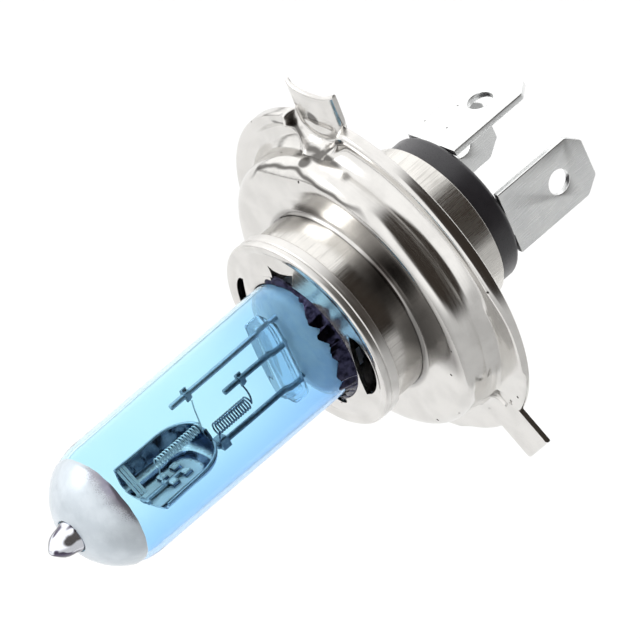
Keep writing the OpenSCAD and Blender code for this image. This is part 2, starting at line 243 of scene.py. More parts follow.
def loft_faces(rings, sides, close_rings, close_ends):
    """Quads over rings of points that were added one ring after another."""
    faces = []
    for i in range(rings if close_rings else rings - 1):
        low, high = i * sides, (i + 1) % rings * sides
        for k in range(sides):
            n = (k + 1) % sides
            faces.append((low + k, low + n, high + n, high + k))
    if close_ends:
        faces.append(tuple(range(sides)))
        faces.append(tuple(range((rings - 1) * sides, rings * sides)))
    return faces


def solid_loft(name, rings, sharp):
    """A solid skinned over equal rings of points, its two ends closed."""
    points = [tuple(p) for ring in rings for p in ring]
    return to_object(name, points, loft_faces(len(rings), len(rings[0]), False, True), sharp)


def lathe(name, outline, steps=192, sharp=32, shape=None):
    """A closed (r, z) outline turned about the axis. shape may move each point: shape(x, y, z)."""
    points = []
    for i in range(steps):
        for r, z in outline:
            p = polar(r, math.tau * i / steps, z)
            points.append(shape(*p) if shape else p)
    return to_object(name, points, loft_faces(steps, len(outline), True, False), sharp)


def tube(name, path, radius, sides=16, blunt=0.35):
    """A round wire along a path, without twist, its ends rounded over by a share of the radius."""
    path = [Vector(p) for p in path]
    start = (path[0] - path[1]).normalized()
    end = (path[-1] - path[-2]).normalized()
    round_off = radius * blunt
    path[0] -= start * round_off
    path[-1] -= end * round_off
    path = [path[0] + start * round_off, path[0] + start * round_off * 0.6, *path,
            path[-1] + end * round_off * 0.6, path[-1] + end * round_off]
    last = len(path) - 1
    slim = {0: 1 - blunt, 1: 1 - blunt * 0.25, last - 1: 1 - blunt * 0.25, last: 1 - blunt}
    rings = []
    side = None
    for i, p in enumerate(path):
        ahead = (path[min(i + 1, last)] - path[max(i - 1, 0)]).normalized()
        if side is None:
            side = ahead.orthogonal().normalized()
        side = (side - ahead * side.dot(ahead)).normalized()
        up = ahead.cross(side)
        rings.append([p + (side * math.cos(a) + up * math.sin(a)) * radius * slim.get(i, 1.0)
                      for a in (math.tau * k / sides for k in range(sides))])
    return solid_loft(name, rings, 50)


def spline(points, parts=8):
    """A smooth path through a few points (Catmull-Rom)."""
    p = [Vector(q) for q in points]
    p = [p[0] * 2 - p[1], *p, p[-1] * 2 - p[-2]]
    path = []
    for i in range(1, len(p) - 2):
        for k in range(parts):
            t = k / parts
            path.append(0.5 * (2 * p[i] + (p[i + 1] - p[i - 1]) * t
                               + (2 * p[i - 1] - 5 * p[i] + 4 * p[i + 1] - p[i + 2]) * t * t
                               + (3 * p[i] - p[i - 1] - 3 * p[i + 1] + p[i + 2]) * t ** 3))
    path.append(p[-2])
    return path


def plate(name, outline, hole, thickness, bevel, place):
    """A flat plate with bevelled edges. place turns the outline's own (u, v, w) into the bulb's (x, y, z)."""
    curve = bpy.data.curves.new(name, "CURVE")
    curve.dimensions = "2D"
    curve.fill_mode = "BOTH"
    curve.extrude = thickness / 2 - bevel
    curve.bevel_depth = bevel
    curve.bevel_resolution = 2
    curve.offset = -bevel
    for loop in (outline, hole):
        line = curve.splines.new("POLY")
        line.points.add(len(loop) - 1)
        for point, (u, v) in zip(line.points, loop):
            point.co = (u, v, 0, 1)
        line.use_cyclic_u = True
    drawn = link(name, curve)
    mesh = baked(drawn)
    bpy.data.objects.remove(drawn)
    mesh.name = name
    for vertex in mesh.vertices:
        vertex.co = local(*place(*vertex.co))
    finish_mesh(mesh, 50)
    return link(name, mesh)


def rounded_block(name, low, high, radius, shape=None):
    """A box with rounded edges. shape may move each point: shape(x, y, z)."""
    work = bmesh.new()
    bmesh.ops.create_cube(work, size=1)
    for vertex in work.verts:
        vertex.co = Vector(mix(low[k], high[k], vertex.co[k] + 0.5) for k in range(3))
    bmesh.ops.bevel(work, geom=work.edges[:], offset=radius, segments=4, profile=0.5, affect="EDGES")
    if shape:
        long_edges = [e for e in work.edges if e.calc_length() > 3 * radius]
        bmesh.ops.subdivide_edges(work, edges=long_edges, cuts=3, use_grid_fill=True)
    for vertex in work.verts:
        vertex.co = local(*(shape(*vertex.co) if shape else vertex.co))
    mesh = bpy.data.meshes.new(name)
    work.to_mesh(mesh)
    work.free()
    finish_mesh(mesh, 50)
    return link(name, mesh)


def join(target, *others):
    """Adds other objects' meshes to the target's."""
    work = bmesh.new()
    work.from_mesh(target.data)
    for other in others:
        work.from_mesh(other.data)
        bpy.data.objects.remove(other)
    work.to_mesh(target.data)
    work.free()
    return target


def cut(target, *tools):
    """Takes the tools' solids out of the target."""
    for tool in tools:
        step = target.modifiers.new("cut", "BOOLEAN")
        step.operation = "DIFFERENCE"
        step.solver = "EXACT"
        step.object = tool
    mesh = baked(target)
    target.modifiers.clear()
    target.data = mesh
    for tool in tools:
        bpy.data.objects.remove(tool)
    finish_mesh(mesh, 32)
    return target


def install(obj, material, slot, *nodes):
    """Gives a piece its material, lets it ride on the bulb's one body and hides the nodes it stands for."""
    obj.data.materials.clear()
    obj.data.materials.append(material)
    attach(obj, "root")
    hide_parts(*nodes)

# ---- Material helpers ----


class Shader:
    """Adds nodes to a material's or a world's tree and links them."""

    def __init__(self, owner):
        owner.use_nodes = True
        self.owner = owner
        self.tree = owner.node_tree
        self.tree.nodes.clear()

    def add(self, kind, inputs=None, **settings):
        """A node with its settings made and its inputs set or linked. Colours are (red, green, blue)."""
        made = self.tree.nodes.new(kind)
        for key, value in settings.items():
            setattr(made, key, value)
        for key, value in (inputs or {}).items():
            socket = made.inputs[key]
            if isinstance(value, bpy.types.NodeSocket):
                self.tree.links.new(value, socket)
            else:
                socket.default_value = (*value, 1.0) if socket.type == "RGBA" else value
        return made

    def math(self, operation, a, b=0.0):
        return self.add("ShaderNodeMath", {0: a, 1: b}, operation=operation).outputs[0]

    def plus(self, a, b):
        return self.math("ADD", a, b)

    def times(self, product, *factors):
        for factor in factors:
            product = self.math("MULTIPLY", product, factor)
        return product

    def less(self, share):
        """What a share leaves of 1."""
        return self.math("SUBTRACT", 1.0, share)

    def remap(self, value, low, high, to_low=0.0, to_high=1.0, kind="SMOOTHSTEP"):
        return self.add("ShaderNodeMapRange", {"Value": value, "From Min": low, "From Max": high,
                                               "To Min": to_low, "To Max": to_high},
                        interpolation_type=kind).outputs["Result"]

    def band(self, value, middle, outer, inner):
        """1 where a value is within inner of the middle, 0 beyond outer."""
        return self.remap(self.math("ABSOLUTE", self.math("SUBTRACT", value, middle)), outer, inner)

    def blend(self, factor, a, b, kind="MIX"):
        return self.add("ShaderNodeMix", {0: factor, 6: a, 7: b}, data_type="RGBA", blend_type=kind,
                        clamp_factor=True).outputs[2]

    def vector(self, operation, a, b=(0.0, 0.0, 0.0)):
        """Vector arithmetic. A length, a distance or a dot product comes out as a number."""
        made = self.add("ShaderNodeVectorMath", {0: a, 1: b}, operation=operation)
        return made.outputs["Value" if operation in ("LENGTH", "DISTANCE", "DOT_PRODUCT") else "Vector"]

    def axes(self, vector):
        return self.add("ShaderNodeSeparateXYZ", {0: vector}).outputs

    def cone(self, ray, direction, inner, outer):
        """1 where a unit vector is within an angle of a direction, 0 beyond a wider one, in degrees."""
        facing = self.vector("DOT_PRODUCT", ray, tuple(Vector(direction).normalized()))
        return self.remap(facing, math.cos(math.radians(outer)), math.cos(math.radians(inner)))

    def noise(self, vector, scale, detail=2.0, roughness=0.5, w=None):
        inputs = {"Vector": vector, "Scale": scale, "Detail": detail, "Roughness": roughness}
        if w is None:
            return self.add("ShaderNodeTexNoise", inputs).outputs["Fac"]
        return self.add("ShaderNodeTexNoise", {**inputs, "W": w}, noise_dimensions="4D").outputs["Fac"]

    def stretched(self, vector, scale):
        return self.add("ShaderNodeMapping", {"Vector": vector, "Scale": scale}).outputs[0]

    def facing(self, blend):
        """0 where the surface faces the viewer, 1 at its outline."""
        return self.add("ShaderNodeLayerWeight", {"Blend": blend}).outputs["Facing"]

    def open_share(self, reach):
        """1 on open surfaces, less in hollows narrower than a reach in millimetres."""
        return self.add("ShaderNodeAmbientOcclusion", {"Distance": reach * MM}, samples=12).outputs["AO"]

    def bump(self, strength, depth, height):
        """The surface's normal with a pattern of a depth in millimetres."""
        inputs = {"Strength": strength, "Distance": depth * MM, "Height": height}
        return self.add("ShaderNodeBump", inputs).outputs[0]

    def surface(self, **inputs):
        """The Principled shader and the output, then the finished material. Names have _ for spaces."""
        values = {key.replace("_", " "): value for key, value in inputs.items()}
        shader = self.add("ShaderNodeBsdfPrincipled", values)
        self.add("ShaderNodeOutputMaterial", {"Surface": shader.outputs[0]})
        return self.owner


def start(name):
    """A new material's shader, and the object's own coordinates in millimetres."""
    s = Shader(bpy.data.materials.new(name))
    coordinates = s.add("ShaderNodeTexCoord").outputs["Object"]
    return s, s.add("ShaderNodeVectorMath", {0: coordinates, "Scale": 1 / MM}, operation="SCALE").outputs[0]


def about_axis(s, place):
    """Where a place is: how far right, in front and up, its distance from the axis and its way round it."""
    x, y, z = s.axes(place)
    flat = s.add("ShaderNodeCombineXYZ", {0: x, 2: z}).outputs[0]
    return SimpleNamespace(right=x, front=s.times(y, -1.0), up=z, flat=flat, radius=s.vector("LENGTH", flat),
                           around=s.vector("NORMALIZE", flat))


def turned_marks(s, at, fine, coarse):
    """Noise for marks that run round the axis: fine across them and coarse along them."""
    right, _, up = s.axes(s.vector("MULTIPLY", at.around, (coarse, coarse, coarse)))
    parts = {0: s.times(at.front, -fine), 1: s.times(at.radius, fine), 2: right}
    return s.noise(s.add("ShaderNodeCombineXYZ", parts).outputs[0], 1.0, 3.0, 0.65, up)


def specks(s, place, scale, size):
    """Small scattered dots: 1 on a dot, 0 elsewhere."""
    cells = s.add("ShaderNodeTexVoronoi", {"Vector": place, "Scale": scale, "Randomness": 1.0})
    lot = s.add("ShaderNodeSeparateColor", {0: cells.outputs["Color"]}).outputs[0]
    return s.times(s.remap(cells.outputs["Distance"], size, size * 0.6), s.math("GREATER_THAN", lot, 0.72))


def spot(s, place, wobble, centre, size):
    """A soft-edged ellipsoid mark: 1 inside, 0 outside, its edge moved by the wobble."""
    scaled = s.vector("DIVIDE", s.vector("SUBTRACT", place, centre), size)
    return s.remap(s.plus(s.vector("LENGTH", scaled), wobble), 1.15, 0.75)


# ---- Materials. Places in them are object coordinates: right, back and up ----

NICKEL_TINT = (0.72, 0.705, 0.68)
# A dark colour both for real specks and for the painted shade and dark reflections round the reference lug;
# the lug's spots follow as centre and size.
SPECK_AND_SHADE = (0.05, 0.045, 0.04)
LUG_SHADE_SPOTS = [((-0.85, -0.3, 20.8), (0.9, 1.5, 1.0)), ((-4.9, -0.9, 19.2), (2.0, 1.6, 0.5)),
               ((1.3, -2.0, 17.6), (2.9, 1.0, 1.1)), ((4.6, -0.8, 20.2), (0.9, 1.2, 0.5))]
LUG_BOWL_PLACE, LUG_BOWL_R = (0.0, 0.0, 22.2), 4.55
STEP_CREASE_R = 17.0
NECK_EDGE_R = 12.2
# Sectors round the axis for the painted shade where the neck meets the flange, and for the neck's highlight
# that the shade leaves bright: each a direction, and the angles from it where it starts to fade and is gone.
NECK_HIGHLIGHT = (68, 12, 28)
NECK_SHADE_STREAK = (40, 6, 15)
STEP_SHADE = (18, 30, 46)
STEP_SHADE_ABOVE = (91, 6, 15)


def lug_painted_shade(s, place, at):
    """Painted shade and dark reflections where the reference lug was drawn: soft spots and two thin dark
    lines along its creases.
    """
    wobble = s.remap(s.noise(place, 0.3, 1.0), 0.3, 0.7, -0.4, 0.4, "LINEAR")
    mark = 0.0
    for centre, size in LUG_SHADE_SPOTS:
        mark = s.math("MAXIMUM", mark, spot(s, place, wobble, centre, size))
    drift = s.times(wobble, 0.6)
    from_bowl = s.plus(s.vector("DISTANCE", at.flat, LUG_BOWL_PLACE), drift)
    scallop = s.times(s.band(from_bowl, LUG_BOWL_R, 0.30, 0.06), s.remap(at.up, 21.2, 20.2))
    shoulder = s.band(s.plus(at.radius, drift), STEP_CREASE_R, 0.30, 0.04)
    shoulder = s.times(shoulder, s.remap(at.front, 3.0, 3.4), s.remap(at.up, 13.2, 15.8))
    return s.math("MAXIMUM", mark, s.math("MAXIMUM", scallop, shoulder))


def flange_painted_shade(s, at):
    """How much painted shade darkens the plate where the neck meets the flange, none in the sector of the
    neck's highlight.
    """

    def sector(angle, inner, outer):
        turn = math.radians(angle)
        return s.cone(at.around, (math.cos(turn), 0.0, math.sin(turn)), inner, outer)

    on_neck = s.times(s.remap(at.front, 9.0, 6.0, 0.12, 0.58), s.less(sector(*NECK_HIGHLIGHT)))
    streak = s.times(s.remap(at.front, 9.0, 7.0, 0.0, 0.3), sector(*NECK_SHADE_STREAK))
    on_neck = s.plus(on_neck, streak)
    on_step = s.times(s.remap(at.radius, 17.4, 16.2, 0.0, 0.68), sector(*STEP_SHADE))
    on_step = s.times(on_step, s.remap(at.front, 3.4, 4.3))
    above = s.times(s.remap(at.radius, 13.5, NECK_EDGE_R, 0.0, 0.75), sector(*STEP_SHADE_ABOVE))
    on_step = s.math("MAXIMUM", on_step, above)
    neck_share = s.remap(at.radius, NECK_EDGE_R, NECK_EDGE_R - 0.6)
    return s.plus(s.times(on_neck, neck_share), s.times(on_step, s.less(neck_share)))


def nickel(name, tint, shine, brushed=0.1, drawn=False, satin_from=None, lug_shaded=False, flange_shaded=False):
    """Bright nickel plate with faint clouding and painted shade in its creases: drawn, or turned and with a
    few specks.
    """
    s, place = start(name)
    at = about_axis(s, place)
    marks = turned_marks(s, at, 0.22, 55.0) if drawn else turned_marks(s, at, 5.0, 3.0)
    clouds = s.noise(place, 0.35, 3.0)
    colour = s.blend(s.remap(clouds, 0.35, 0.7), tint, tuple(c * 0.9 for c in tint))
    # Painted shade: the colour darkens in creases and narrow hollows.
    colour = s.blend(s.remap(s.open_share(1.4), 0.82, 0.42, 0.0, 0.85), colour, (0.07, 0.06, 0.05))
    roughness = s.remap(marks, 0.35, 0.7, shine, shine + brushed)
    roughness = s.plus(roughness, s.remap(clouds, 0.4, 0.75, 0.0, 0.05))
    if drawn:
        colour = s.blend(s.remap(marks, 0.5, 0.68, 0.0, 0.22), colour, (0.16, 0.145, 0.13))
    # Painted shade where the neck meets the flange.
    if flange_shaded:
        colour = s.blend(flange_painted_shade(s, at), colour, (0.05, 0.04, 0.035))
    if satin_from:
        satin = s.remap(at.radius, satin_from, satin_from + 0.2, 0.0, 0.16)
        roughness = s.plus(roughness, satin)
    # Painted shade and dark reflections round the reference lug.
    if lug_shaded:
        colour = s.blend(s.times(lug_painted_shade(s, place, at), 0.85), colour, SPECK_AND_SHADE)
    if not drawn:
        dots = specks(s, place, 0.42, 0.085)
        colour = s.blend(dots, colour, SPECK_AND_SHADE)
        roughness = s.plus(roughness, s.times(dots, 0.4))
    bump = s.bump(0.12, 0.07 if drawn else 0.02, marks)
    return s.surface(Base_Color=colour, Metallic=1.0, Roughness=roughness, Normal=bump)


def satin_metal(name, dark, light, rough, metal=1.0, scale=2.5):
    """A plain metal with a cloudy tone and fine grain, for wires, tabs, foils and tongues."""
    s, place = start(name)
    clouds = s.noise(place, scale, 4.0, 0.6)
    grain = s.noise(place, scale * 9, 2.0)
    colour = s.blend(s.remap(clouds, 0.3, 0.7), dark, light)
    roughness = s.remap(grain, 0.3, 0.7, rough * 0.8, rough * 1.25)
    return s.surface(Base_Color=colour, Metallic=metal, Roughness=roughness, Normal=s.bump(0.15, 0.02, grain))


def tinned_blade():
    """Satin tin plate with fine rolling marks along the blade and a few specks."""
    s, place = start("tinned_blade")
    rolled = s.noise(s.stretched(place, (9.0, 0.5, 9.0)), 1.0, 3.0, 0.6)
    clouds = s.noise(place, 0.5, 3.0)
    colour = s.blend(s.remap(clouds, 0.3, 0.7), (0.78, 0.79, 0.79), (0.85, 0.86, 0.85))
    colour = s.blend(specks(s, place, 0.6, 0.09), colour, (0.2, 0.19, 0.18))
    roughness = s.remap(rolled, 0.3, 0.7, 0.24, 0.36)
    return s.surface(Base_Color=colour, Metallic=1.0, Roughness=roughness, Normal=s.bump(0.1, 0.02, rolled))


def black_insulator():
    """Moulded black plastic with a fine grain."""
    s, place = start("black_insulator")
    grain = s.noise(place, 14.0, 3.0, 0.6)
    colour = s.blend(s.noise(place, 0.8, 2.0), (0.022, 0.020, 0.024), (0.040, 0.038, 0.044))
    roughness = s.remap(grain, 0.3, 0.7, 0.26, 0.4)
    return s.surface(Base_Color=colour, Roughness=roughness, Specular_IOR_Level=0.55, Sheen_Weight=0.2,
                     Sheen_Roughness=0.3, Normal=s.bump(0.25, 0.03, grain))


def blue_glass():
    """Light blue tinted glass, deeper near the cap, with painted light and shade: pale on its upper left,
    deeper on its lower right, and its outline painted from pale cyan on the upper left to deep blue on the
    lower right.
    """
    s, place = start("blue_glass")
    at = about_axis(s, place)
    # Painted light and shade: the tint is paler on the upper left and deeper on the lower right, and deeper
    # again at the outline.
    side = s.math("SUBTRACT", s.times(at.right, 0.64), s.times(at.up, 0.77))
    lower_right_shade = s.remap(side, GLASS.r * 0.1, GLASS.r * 1.05, 0.0, 0.8)
    near_cap = s.remap(at.front, 26.0, 12.0, 0.0, 0.7)
    pale = s.blend(s.noise(place, 0.12, 2.0), (0.73, 0.94, 1.0), (0.67, 0.91, 1.0))
    pale = s.blend(near_cap, pale, (0.56, 0.79, 1.0))
    pale = s.blend(lower_right_shade, pale, (0.50, 0.73, 0.98))
    rim = s.blend(s.remap(side, GLASS.r * -0.6, GLASS.r * 0.5), (0.80, 0.95, 1.0), (0.12, 0.36, 0.86))
    colour = s.blend(s.remap(s.facing(0.35), 0.5, 0.97), pale, rim)
    return s.surface(Base_Color=colour, Roughness=0.0, IOR=1.22, Transmission_Weight=1.0,
                     Specular_Tint=(0.45, 0.72, 1.0))


def clear_quartz():
    """Fused quartz with a faint haze."""
    s, place = start("clear_quartz")
    haze = s.noise(place, 0.6, 3.0)
    colour = s.blend(haze, (0.80, 0.90, 0.99), (0.93, 0.97, 1.0))
    return s.surface(Base_Color=colour, Roughness=s.remap(haze, 0.45, 0.8, 0.0, 0.05), IOR=1.16,
                     Transmission_Weight=0.93)


def pressed_quartz():
    """The pinch: quartz that the press left cloudy and rippled."""
    s, place = start("pressed_quartz")
    ripple = s.noise(place, 0.7, 3.0, 0.6)
    colour = s.blend(s.remap(ripple, 0.35, 0.65), (0.80, 0.87, 0.97), (0.94, 0.97, 1.0))
    return s.surface(Base_Color=colour, Roughness=0.1, IOR=1.3, Transmission_Weight=0.3,
                     Normal=s.bump(0.3, 0.3, ripple))


def melted_glass():
    """The melted tip: glass with a dark metallic gloss, bright and dark streaks as painted reflections, and a
    painted dark outline.
    """
    s, place = start("melted_glass")
    # Painted reflections: bright and dark streaks.
    reflection_streaks = s.noise(s.stretched(place, (1.0, 0.35, 1.0)), 0.9, 1.0, 0.5)
    colour = s.blend(s.remap(reflection_streaks, 0.36, 0.46), (0.07, 0.055, 0.10), (0.80, 0.82, 0.88))
    # Painted shade: a dark outline where the tip turns away.
    colour = s.blend(s.remap(s.facing(0.4), 0.3, 0.72), colour, (0.03, 0.028, 0.05))
    return s.surface(Base_Color=colour, Metallic=0.9, Roughness=0.07, IOR=1.46, Coat_Weight=0.6,
                     Coat_Roughness=0.03)


def silver_coating():
    """Satin silver-white coating, smoky and thin along its edge on one side, where the smoke is partly the
    coating's thin edge and partly a painted dark reflection.
    """
    s, place = start("dome_coating")
    at = about_axis(s, place)
    clouds = s.noise(place, 0.45, 4.0, 0.6)
    grain = s.noise(place, 7.0, 3.0)
    colour = s.blend(s.remap(clouds, 0.35, 0.7), (0.56, 0.62, 0.67), (0.64, 0.70, 0.75))
    height = s.plus(at.front, s.remap(clouds, 0.2, 0.8, -0.9, 0.9, "LINEAR"))
    # The smoke is laid on one side of the edge only: partly the coating thinning out, partly a painted dark
    # reflection.
    side = s.plus(s.times(at.right, 0.72), s.times(at.up, 0.69))
    smoke_and_shade = s.times(s.remap(height, COATING.z0 + 2.6, COATING.z0 + 0.6), s.remap(side, 5.0, 6.9))
    tints = s.add("ShaderNodeTexNoise", {"Vector": place, "Scale": 0.9, "Detail": 3.0}).outputs["Color"]
    smoky_shade = s.blend(0.3, (0.16, 0.13, 0.19), tints, "SOFT_LIGHT")
    colour = s.blend(s.times(smoke_and_shade, 0.8), colour, smoky_shade)
    roughness = s.math("SUBTRACT", s.remap(grain, 0.3, 0.7, 0.3, 0.42), s.times(smoke_and_shade, 0.18))
    return s.surface(Base_Color=colour, Metallic=0.5, Roughness=roughness, Coat_Weight=0.5,
                     Coat_Roughness=0.12, Normal=s.bump(0.2, 0.03, grain))


def polished_shield():
    """Polished stamped sheet with painted light and shade: painted dark walls, a painted near-white floor, a
    painted dark outline round the floor and painted shade in its creases.
    """
    s, place = start("polished_shield")
    up = s.axes(place)[2]
    clouds = s.remap(s.noise(place, 0.5, 3.0), 0.35, 0.7)
    # Painted light and shade on one polished sheet: dark walls, a bright dull floor, a dark band round the
    # floor, and darker creases.
    shaded_walls = s.blend(clouds, (0.10, 0.13, 0.20), (0.30, 0.35, 0.45))
    outline = s.band(up, SHIELD.y0 + 1.15, 0.22, 0.12)
    lit_floor_share = s.times(s.remap(up, SHIELD.y0 + 2.0, SHIELD.y0 + 1.3), s.less(outline))
    colour = s.blend(lit_floor_share, shaded_walls, (0.92, 0.96, 1.0))
    crease_shade = s.remap(s.open_share(0.35), 0.8, 0.55, 0.0, 0.92)
    colour = s.blend(crease_shade, colour, (0.01, 0.015, 0.03))
    roughness = s.remap(s.noise(place, 3.0, 3.0), 0.3, 0.7, 0.06, 0.16)
    roughness = s.plus(roughness, s.times(lit_floor_share, 0.22))
    metal = s.remap(lit_floor_share, 0.0, 1.0, 1.0, 0.35)
    return s.surface(Base_Color=colour, Metallic=metal, Roughness=roughness)


NICKEL_DRAWN = nickel("nickel_drawn", (0.72, 0.70, 0.665), 0.13, drawn=True, flange_shaded=True)
NICKEL_RING = nickel("nickel_ring", NICKEL_TINT, 0.12, lug_shaded=True, flange_shaded=True)
NICKEL_CAP = nickel("nickel_cap", NICKEL_TINT, 0.12, satin_from=CAP.r - 0.25)
NICKEL_SATIN = nickel("nickel_satin", (0.76, 0.74, 0.70), 0.22, brushed=0.12, drawn=True)
TIN = tinned_blade()
PLASTIC = black_insulator()
BLUE_GLASS = blue_glass()
QUARTZ = clear_quartz()
PRESSED_QUARTZ = pressed_quartz()
MELTED_GLASS = melted_glass()
COAT = silver_coating()
SHIELD_METAL = polished_shield()
MOLYBDENUM = satin_metal("molybdenum", (0.16, 0.20, 0.25), (0.30, 0.35, 0.41), 0.35)
PALE_MOLYBDENUM = satin_metal("pale_molybdenum", (0.36, 0.42, 0.50), (0.52, 0.58, 0.66), 0.35)
TUNGSTEN = satin_metal("tungsten", (0.07, 0.09, 0.14), (0.26, 0.30, 0.38), 0.22)
# Painted light: the dip coil's tungsten is much paler than the main coil's, so it reads as light lines
# against the shield's dark wall.
TUNGSTEN_PAINTED_LIGHT = satin_metal("tungsten_painted_light", (0.62, 0.66, 0.70), (0.84, 0.87, 0.90), 0.35)
# Painted shade: the burner clip is nearly black so the inside of the neck reads dark.
SPRING_PAINTED_SHADE = satin_metal("spring_steel", (0.02, 0.018, 0.022), (0.06, 0.055, 0.065), 0.3)
WIRE = satin_metal("lead_wire", (0.62, 0.61, 0.58), (0.76, 0.75, 0.72), 0.3)
# Painted shade: the tongues are nearly black where they sit in shade and reflect dark.
TONGUE_PAINTED_SHADE = satin_metal("tongue_steel_painted_shade", (0.004, 0.004, 0.012), (0.045, 0.045, 0.085), 0.12, scale=1.6)
# Painted light: the folded lip is near-white and dull to lighten a strip that sits in shade.
LIP_PAINTED_LIGHT = satin_metal("shield_lip", (0.84, 0.90, 0.96), (0.95, 0.98, 1.0), 0.5, metal=0.1)
FOIL = satin_metal("sealing_foil", (0.40, 0.38, 0.42), (0.60, 0.58, 0.62), 0.25)

# ---- Glass ----


def glass_envelope():
    """The tube and its domed end, one skin outside and one inside, with a fire-rounded open end."""
    outline = (arc(0, DOME_Z, GLASS.r, 90, 0, 40)
               + arc(GLASS.r - 0.5, GLASS.z0 + 0.5, 0.5, 0, -90, 5)
               + arc(BORE_R + 0.4, GLASS.z0 + 0.4, 0.4, 270, 180, 4)
               + arc(0, DOME_Z, BORE_R, 0, 90, 40))
    return lathe("glass_tube", [(max(r, 0.0), z) for r, z in outline], 192, 32, uneven(0.004, 0.09))


def dome_coating():
    """A thin skin over the dome whose edge wanders a little."""
    top = math.degrees(math.acos((TIP.r + 0.1) / GLASS.r))
    bottom = math.degrees(math.asin((COATING.z0 - DOME_Z) / GLASS.r))
    thickness = COATING.r - GLASS.r * math.cos(math.radians(bottom))
    steps, parts = 192, 36
    points = []
    for i in range(steps):
        a = math.tau * i / steps
        x, y = math.cos(a), math.sin(a)
        edge = bottom + 1.3 + 0.7 * wander(x, y, 0.3, 2.2) + 0.5 * wander(x, y, 1.7, 6.5)
        inside, outside = [], []
        for k in range(parts + 1):
            rise = math.radians(mix(edge, top, (k / parts) ** 1.3))
            out, up = math.cos(rise), math.sin(rise)
            skin_r = GLASS.r + thickness * 0.9 * smoothstep(0, 0.12, k / parts) + 0.012
            inside.append(polar((GLASS.r + 0.004) * out, a, DOME_Z + (GLASS.r + 0.004) * up))
            outside.append(polar(skin_r * out, a, DOME_Z + skin_r * up))
        points += inside + outside[::-1]
    return to_object("dome_coat", points, loft_faces(steps, 2 * (parts + 1), True, False), 40)


def exhaust_tip():
    """The sealed nub: a flared foot on the dome, a waist and a pinched round nose, slightly askew."""
    seat = DOME_Z + math.sqrt(GLASS.r ** 2 - TIP.r ** 2)
    height = TIP.z1 - seat - 0.3
    profile = [(1.0, 0.0), (0.97, 0.10), (0.90, 0.20), (0.86, 0.30), (0.84, 0.40), (0.79, 0.52),
               (0.68, 0.65), (0.53, 0.77), (0.37, 0.87), (0.22, 0.95), (0.10, 0.99), (0.0, 1.0)]
    outline = [(0.0, seat - 0.5), (TIP.r, seat - 0.3)]
    outline += [(TIP.r * r, seat + height * h) for r, h in profile]

    def askew(x, y, z):
        t = max(0.0, (z - seat) / height)
        reflection_streaks = 0.06 * t * wander(x, y, z, 0.9)
        return x * (1 + reflection_streaks) - 0.18 * t * t, y * (1 + reflection_streaks), z
    return lathe("exhaust_nub", outline, 96, 60, askew)


def pinch_seal():
    """The flat pinch below and the round shoulder that closes the tube above it."""
    half_width, half_thick, ridge = PINCH.y1, 2.1, 3.6
    shoulder_z = GLASS.z0 + 1.0
    step, sides, dome_parts = 0.3, 96, 8
    turns = [math.tau * k / sides for k in range(sides)]
    flat_levels = int((GLASS.z0 - 1.6 - PINCH.z0) / step) + 1
    levels = [PINCH.z0 + step * k for k in range(flat_levels)]
    levels += [GLASS.z0 + rise for rise in (-1.2, -0.8, -0.4, 0.0, 0.5)] + [shoulder_z]
    rings = []
    for z in levels:
        roundness = smoothstep(GLASS.z0 - 2.2, GLASS.z0 + 0.2, z)
        ring = []
        for a in turns:
            flat = 1 / max(abs(math.cos(a)) / half_thick, abs(math.sin(a)) / half_width)
            flat = min(flat, math.hypot(half_thick, half_width) * 0.985)
            ring.append(polar(mix(flat, PINCH_R, roundness), a, z))
        rings.append(ring)
    for k in range(1, dome_parts + 1):
        rise = math.radians(90 * k / dome_parts)
        shrink = math.cos(rise) ** 0.75 if k < dome_parts else 0.01
        z = mix(shoulder_z, PINCH.z1, math.sin(rise))
        narrow = mix(PINCH_R, ridge, smoothstep(0.0, 0.8, k / dome_parts))
        rings.append([(narrow * shrink * math.cos(a), PINCH_R * shrink * math.sin(a), z) for a in turns])
    return solid_loft("pinch_body", rings, 50)


install(glass_envelope(), BLUE_GLASS, "blue_glass", "glass_envelope")
install(dome_coating(), COAT, "tip_paint", "tip_coating")
install(exhaust_tip(), MELTED_GLASS, "clear_glass", "exhaust_tip")
install(pinch_seal(), PRESSED_QUARTZ, "clear_glass", "pinch_seal")

# ---- Leads, quartz bridge and filaments ----


def support_lead(node, bend):
    """A drawn wire from the pinch to its free end, a little bent where it was welded."""
    box = extent(node)
    y = (box.y0 + box.y1) / 2
    above_pinch = 14.0
    path = spline([(0, y, box.z0), (0, y, above_pinch), (0, y, BAR.z1 + 0.4),
                   (bend, y, mix(BAR.z1, box.z1, 0.5)), (bend * 0.4, y, box.z1)])
    return tube(node + "_wire", path, box.r * 0.88, 20)


def bridge_bar(node, side):
    """One quartz bar, its edges melted round and its sides a little wavy."""
    box = extent(node)
    gap = 0.03
    low = (box.x0 + (gap if side > 0 else 0), box.y0, box.z0)
    high = (box.x1 - (0 if side > 0 else gap), box.y1, box.z1)
    middle = (box.z0 + box.z1) / 2

    def melted(x, y, z):
        swell = 0.09 * wander(x, y * 0.6, z, 0.7)
        inward = 1 - 0.10 * smoothstep(0.75, 1.0, abs(y) / box.y1)
        return x * inward, y, middle + (z - middle) * (inward + swell * 0.5)
    return rounded_block(node + "_quartz", low, high, 0.55 if side > 0 else 0.35, melted)


def filament(node, centre, coil_r, wire_r, first_z, length, turns, leg_in, leg_out):
    """A coil with its two legs, one wire."""
    steps = 20
    coil = []
    for i in range(turns * steps + 1):
        x, y, z = polar(coil_r, math.tau * i / steps, first_z + length * i / (turns * steps))
        coil.append((centre[0] + x, centre[1] + y, z))
    path = spline([*leg_in, coil[0]], 6)[:-1] + coil + spline([coil[-1], *leg_out], 6)[1:]
    return tube(node + "_coil", path, wire_r, 8)


